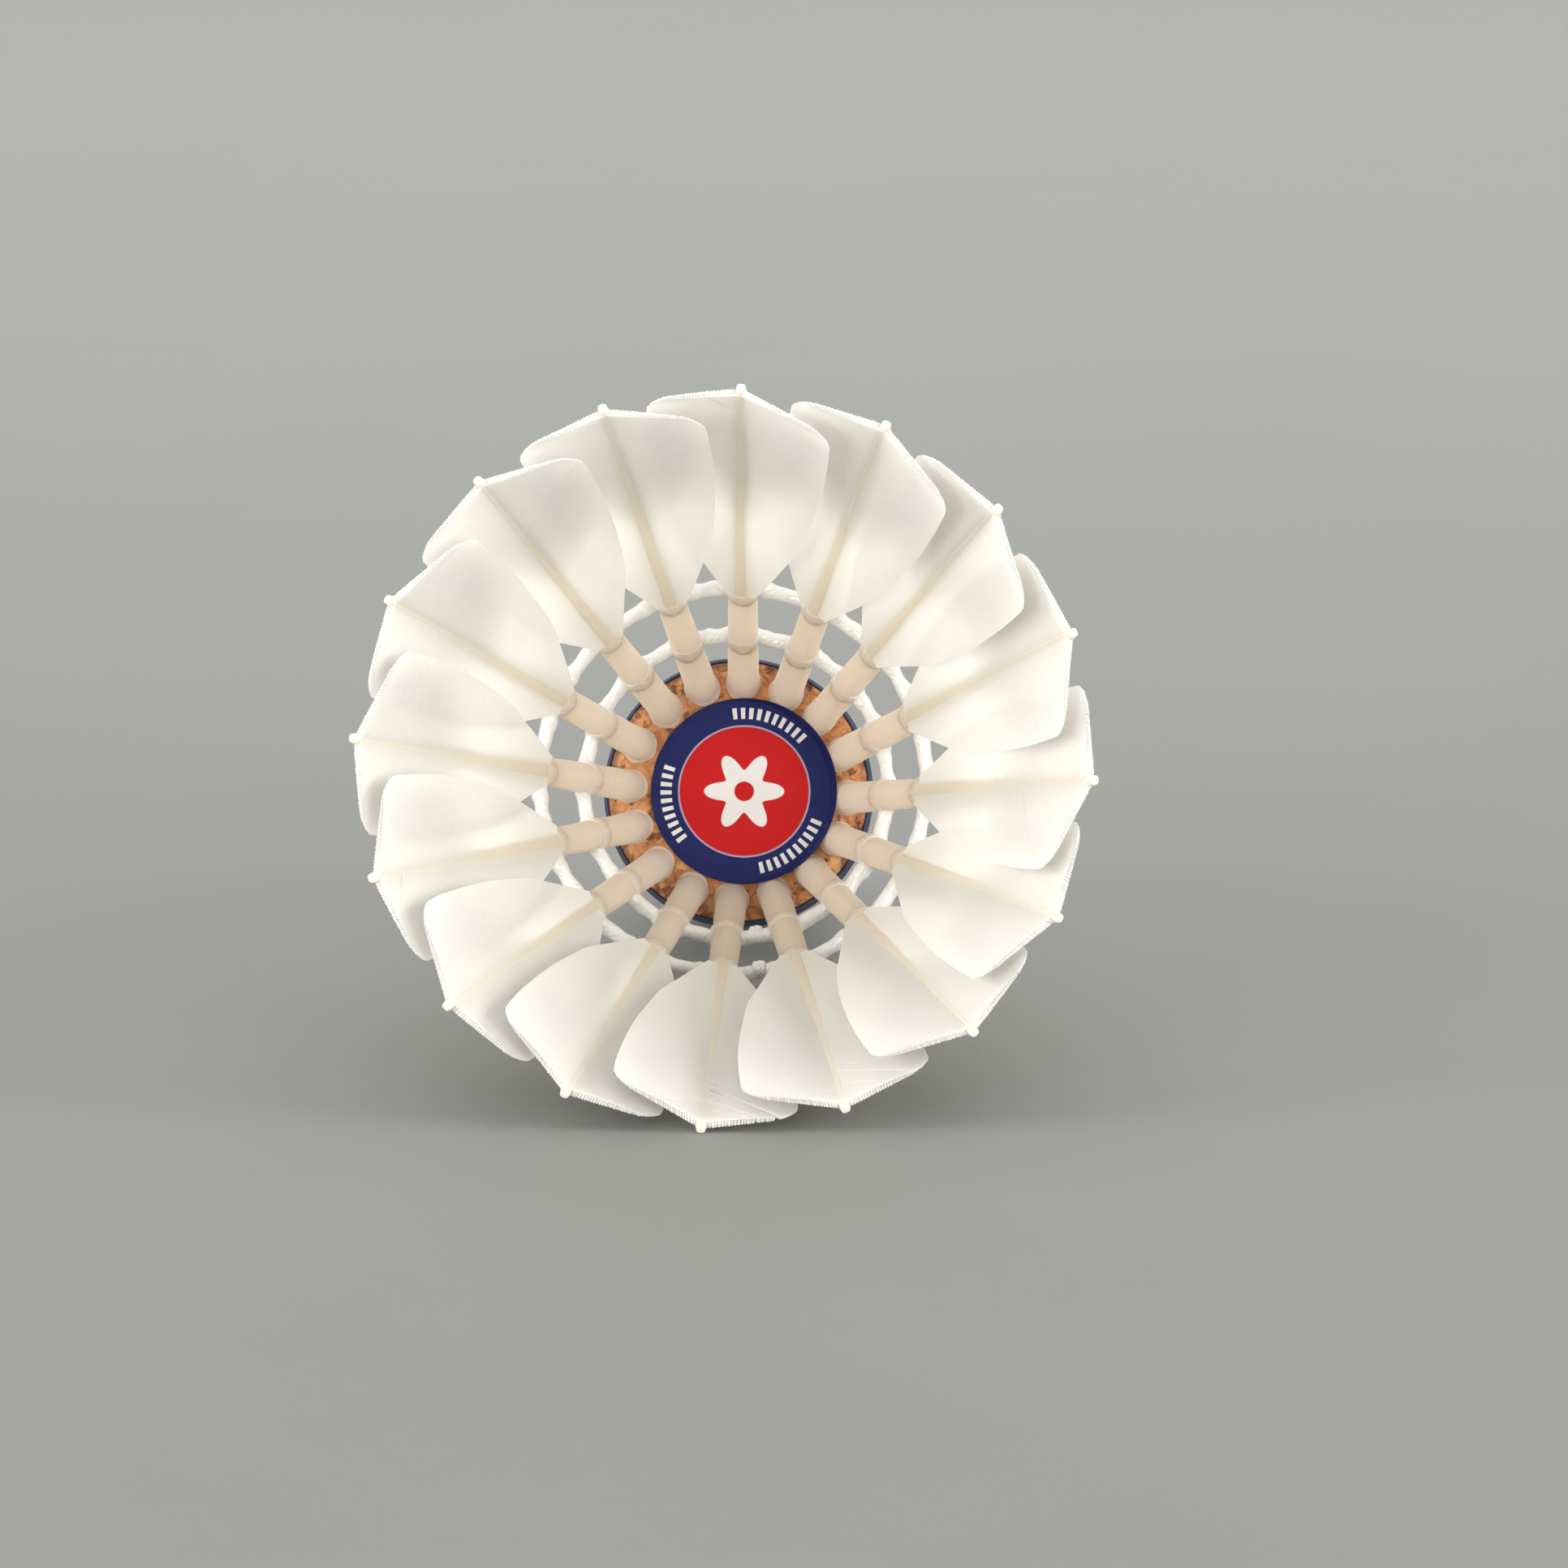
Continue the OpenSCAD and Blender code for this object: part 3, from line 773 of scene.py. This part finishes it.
def goose_vane():
    """Near-white keratin that light comes through, a little warmer by the
    shaft, cloudy over a few millimetres, with the barbs as faint lines. Painted
    shade makes it darker and warmer low down and dark in the gaps between the barb ends."""
    down = Finish("goose_vane")
    across, along = down.uv()
    at = down.place_mm()
    cloud = down.noise(at, 0.13, 3.0, 0.55)
    off_shaft = across.under("ABSOLUTE")
    near_shaft = 1.0 - down.step(off_shaft, 0.8, 4.0)
    # Painted shade: low on the vane, by the lacing, it is painted darker and warmer and lets less
    # light through.
    low = 1.0 - down.step(along, VANE_BASE, VANE_BASE + 16)
    line_at = down.node("ShaderNodeCombineXYZ", None, {
        0: along - 1.5 * off_shaft, 1: across * 0.12})
    lines = down.noise(line_at, 2.6, 3.0, 0.6)
    # Painted shade in the gaps between barb ends, where the mark is 1: they are painted dark grey
    # and let less light through.
    groove = down.attribute("mark")
    white = down.mix(cloud, (0.962, 0.943, 0.912), (0.982, 0.967, 0.945))
    white = down.mix(0.20 * lines, white, (0.88, 0.85, 0.80))
    white = down.mix(0.85 * groove, white, (0.26, 0.26, 0.24))
    white = down.mix(0.30 * near_shaft, white, (0.93, 0.895, 0.80))
    white = down.mix(0.60 * low, white, (0.79, 0.755, 0.68))
    fleck = down.step(down.noise(at, 1.7, 1.0), 0.765, 0.80)
    return down.surface(
        show_through=(0.62 - 0.60 * groove - 0.22 * low, (0.995, 0.985, 0.968)),
        Base_Color=down.mix(0.35 * fleck, white, (0.46, 0.40, 0.30)),
        Roughness=0.58 + 0.12 * lines,
        Normal=down.bump(lines, 0.00005, 0.35),
        Sheen_Weight=0.15, Sheen_Roughness=0.45)


VANE = goose_vane()
for k in range(1, FEATHERS + 1):
    halves = half_vane(k, "outer") + half_vane(k, "inner")
    piece(f"vane_{k:02d}", VANE, "feather_vane", halves, [f"feather_vane_{k:02d}"], crease=42)

# ------------------------------------------------------------------ lacings
# Two threads tie the shafts together. Each goes twice round a shaft, then on
# to the next, and is soaked in glue that sets hard, swells the thread beside
# every shaft and rounds its corners.
UPPER_LACING = 21.7
LOWER_LACING = 10.8


def thread_turns(k, at, dice):
    """The double turn under its glue: a low swelling carried round the shaft,
    a third as deep on the shaft's face as at its sides, out of which each turn
    stands as a faint ridge. It rises a little from one side to the other. Its
    mark is 1 on the shaft's faces and falls to 0 at its sides."""
    angle = np.linspace(0, 2 * np.pi, 49)[:, None]
    around = np.linspace(0, 2 * np.pi, 25)[None, :]
    tall = 0.90 + 0.12 * np.cos(2 * angle + dice.uniform(-0.5, 0.5))
    high = tall * np.sin(around) + 0.06 * np.sin(angle + dice.uniform(0, 6))
    high = high + dice.uniform(-0.08, 0.08)
    thick = (0.08 + 0.20 * np.sin(angle) ** 2
             + 0.012 * np.cos(4 * around) + 0.006 * np.sin(9 * angle))
    outwards, inwards = np.clip(np.cos(around), 0, 1), np.clip(-np.cos(around), 0, 1)
    radius = shaft_r(at) - 0.05 + (thick + 0.05) * outwards ** 0.8 - 0.08 * inwards
    face = np.clip(2.2 - 2.2 * np.abs(np.sin(angle)), 0, 1) + 0 * around
    return (on_feather(k, radius * np.cos(angle), radius * np.sin(angle), at + high),
            angle / (2 * np.pi) * 10, around / (2 * np.pi), face)


def square_to(run):
    """Two unit directions square to a stretch and to each other, the first as
    near as it can be to the shuttle's long axis."""
    up = ALONG - run * (ALONG @ run)
    up /= np.linalg.norm(up)
    return up, np.cross(run, up)


def thread_stretch(k, at, size, dice):
    """A tube from one shaft to the next. Its radius flares in a fillet at both
    ends, swells beside the next shaft and wavers, and two low ridges twist
    round it where the plies lie."""
    nxt = k % FEATHERS + 1
    reach = shaft_r(at) - 0.15
    heights = at + dice.uniform(-0.15, 0.15, 2)
    first = on_feather(k, 0.15, reach, heights[0])
    last = on_feather(nxt, 0.15, -reach, heights[1])
    run = last - first
    span = 1000 * np.linalg.norm(run)
    up, out = square_to(run / np.linalg.norm(run))
    s = (0.5 - 0.5 * np.cos(np.linspace(0, np.pi, 41)))[:, None]
    around = np.linspace(0, 2 * np.pi, 21)[None, :]
    mm = s * span
    fillet = 0.55 * np.exp(-mm / 0.60) + 0.55 * np.exp(-(span - mm) / 0.60)
    bulge = dice.uniform(0.04, 0.22, 2)
    bead = (bulge[0] * np.exp(-(((span - mm) - 1.0) / 0.55) ** 2)
            + 0.5 * bulge[1] * np.exp(-((mm - 1.3) / 0.6) ** 2))
    phases = dice.uniform(0, 6.28, 5)
    waver = (0.06 * np.sin(1.5 * mm + phases[0])
             + 0.035 * np.sin(3.7 * mm + phases[1] + np.sin(around)))
    plies = (0.022 * np.cos(2 * around - 2.0 * mm + phases[2])
             + 0.02 * np.cos(3 * around + 1.2 * mm + phases[4]))
    radius = size * (1 + waver + plies) + bead + fillet * (0.75 + 0.25 * np.cos(2 * around))
    sag = 0.20 * np.sin(np.pi * s) * math.sin(phases[3])
    across = np.cos(around)[..., None] * up + np.sin(around)[..., None] * out
    points = first + run * s[..., None] + 0.001 * (
        (radius[..., None] * across) + sag[..., None] * up)
    points[0] = points[0].mean(0)
    points[-1] = points[-1].mean(0)
    return points, around / (2 * np.pi) * 3, mm, 0 * radius


def glued_thread():
    """White thread under clear glue: soft twist lines below a wet gloss. On
    the faces of the shafts, where it is thinnest, the horn shows through."""
    cord = Finish("glued_thread")
    around, along = cord.uv()
    at = cord.place_mm()
    twist = (along * 9.0 + around * 12.0).under("SINE")
    cloud = cord.noise(at, 0.9, 3.0)
    white = cord.mix(cloud, (0.79, 0.775, 0.73), (0.86, 0.85, 0.82))
    on_shaft = cord.attribute("mark")
    white = cord.mix(0.92 * on_shaft, white, (0.88, 0.81, 0.70))
    laid = (0.08 + 0.08 * twist) * (1.0 - on_shaft)
    return cord.surface(
        show_through=(0.18 + 0.30 * on_shaft, (0.95, 0.90, 0.82)),
        Base_Color=cord.mix(laid, white, (0.76, 0.70, 0.60)),
        Roughness=0.30 + 0.15 * cloud,
        Normal=cord.bump(twist * 0.5 + cord.noise(at, 2.5, 3.0), 0.00006, 0.5),
        Coat_Weight=0.75 - 0.6 * on_shaft, Coat_Roughness=0.07)


THREAD = glued_thread()
for ring, at, size, seed in (("lower", LOWER_LACING, 0.58, 21), ("upper", UPPER_LACING, 0.66, 22)):
    dice = np.random.default_rng(seed)
    laid = []
    for k in range(1, FEATHERS + 1):
        laid += [thread_turns(k, at, dice), thread_stretch(k, at, size, dice)]
    piece(f"lacing_{ring}", THREAD, "thread", laid, [f"thread_ring_{ring}"])

# ------------------------------------------------------------- lacing knots
# Each lacing is tied off by a small barrel knot round the stretch after the
# ninth shaft, at the side that the shuttle lies on.
KNOT_SHAFT = 9


def barrel_knot(at, size):
    """A swollen tube with three coils along it, a bulge of each round the
    stretch, pinched to the thread at both ends."""
    first = on_feather(KNOT_SHAFT, -0.25, 1.5, at)
    last = on_feather(KNOT_SHAFT + 1, -0.25, -1.5, at)
    run = (last - first) / np.linalg.norm(last - first)
    up, out = square_to(run)
    s = np.linspace(-1, 1, 41)[:, None]
    around = np.linspace(0, 2 * np.pi, 25)[None, :]
    coils = np.abs(np.sin(1.5 * np.pi * (s + 1) + 0.5 * around))
    radius = (size + 0.12 + 0.07 * coils) * np.clip(1 - s ** 4, 0, 1) ** 0.5 + 0 * around
    across = np.cos(around)[..., None] * up + np.sin(around)[..., None] * out
    points = (first + last) / 2 + 0.001 * (0.75 * s[..., None] * run + radius[..., None] * across)
    return points, around, s


for ring, at, size in (("lower", LOWER_LACING, 0.53), ("upper", UPPER_LACING, 0.60)):
    piece(f"knot_{ring}", THREAD, "thread", [barrel_knot(at, size)], [f"thread_knot_{ring}"])

# --------------------------------------------------------------------- glue
# Clear glue runs down from each lacing and sets as a thin collar on the shaft,
# and seals every shaft where it comes out of the cork.
def clear_glue():
    """Hard clear glue with a faint amber tint and a few small bubbles."""
    glue = Finish("clear_glue")
    at = glue.place_mm()
    haze = glue.noise(at, 1.6, 3.0)
    bubbles = glue.step(glue.noise(at, 5.0, 1.0), 0.70, 0.76)
    amber = glue.mix(haze, (0.84, 0.76, 0.64), (0.89, 0.82, 0.72))
    return glue.surface(
        show_through=(0.48, (0.96, 0.89, 0.78)),
        Base_Color=glue.mix(0.3 * bubbles, amber, (0.9, 0.88, 0.82)),
        Roughness=0.30 + 0.15 * haze, Coat_Weight=0.3, Coat_Roughness=0.12,
        Normal=glue.bump(haze, 0.00008, 0.5))


def glue_collar(k, at, dice):
    """A thin skirt round the shaft, thickest under the thread, that runs out
    to nothing lower down by an uneven edge."""
    angle = np.linspace(0, 2 * np.pi, 41)[None, :]
    run = 0.55 + 0.25 * np.sin(angle + dice.uniform(0, 6)) * np.sin(2 * angle + dice.uniform(0, 6))
    share = np.array([0.0, 0.0, 0.25, 0.55, 0.8, 1.0, 1.0])[:, None]
    thick = np.array([-0.10, 0.065, 0.055, 0.040, 0.020, -0.01, -0.10])[:, None]
    top = at - 0.55
    radius = shaft_r(at) + thick + 0 * angle
    height = top - run * share
    points = on_feather(k, radius * np.cos(angle), radius * np.sin(angle), height)
    points = np.concatenate([points, points[:1]])
    return points, angle + 0 * points[..., 0], points[..., 0] * 0


def socket_bead(k, dice):
    """A low uneven fillet between the shaft and the cork's face."""
    angle = np.linspace(0, 2 * np.pi, 41)[None, :]
    share = np.array([-0.3, 0.0, 0.35, 0.7, 1.0, 1.0])[:, None]
    wide = 0.16 + 0.06 * np.sin(2 * angle + dice.uniform(0, 6)) + 0.03 * np.sin(5 * angle)
    high = 0.22 + 0.08 * np.sin(angle + dice.uniform(0, 6))
    radius = SHAFT_FOOT_R - 0.1 + (wide + 0.1) * np.clip(share, 0, 1) ** 1.5
    height = np.where(share < 0, -0.15, high * (1 - np.clip(share, 0, 1)) ** 1.5 + 0.01)
    radius = np.concatenate([radius + 0 * height, radius[:1] + 0 * height[:1]])
    height = np.concatenate([height + 0 * radius[:-1], height[:1] + 0 * radius[:1]])
    height[-2] = -0.15
    flat = FOOT_CIRCLE_R + radius * np.cos(angle) / math.cos(FLARE) + height * math.tan(FLARE)
    side = radius * np.sin(angle)
    c, s = math.cos(feather_angle(k)), math.sin(feather_angle(k))
    limit = np.hypot(flat, side)
    pull = np.minimum(1.0, (CORK_R - 0.05) / limit)
    flat, side = flat * pull, side * pull
    return in_place(flat * c - side * s, flat * s + side * c, height), angle + 0 * height, height


GLUE = clear_glue()
for ring, at, seed in (("lower", LOWER_LACING, 31), ("upper", UPPER_LACING, 32)):
    dice = np.random.default_rng(seed)
    collars = [glue_collar(k, at, dice) for k in range(1, FEATHERS + 1)]
    piece(f"glue_run_{ring}", GLUE, "glue", collars, [f"thread_glue_{ring}"])
dice = np.random.default_rng(33)
beads = [socket_bead(k, dice) for k in range(1, FEATHERS + 1)]
piece("socket_seal", GLUE, "glue", beads, ["socket_glue"])
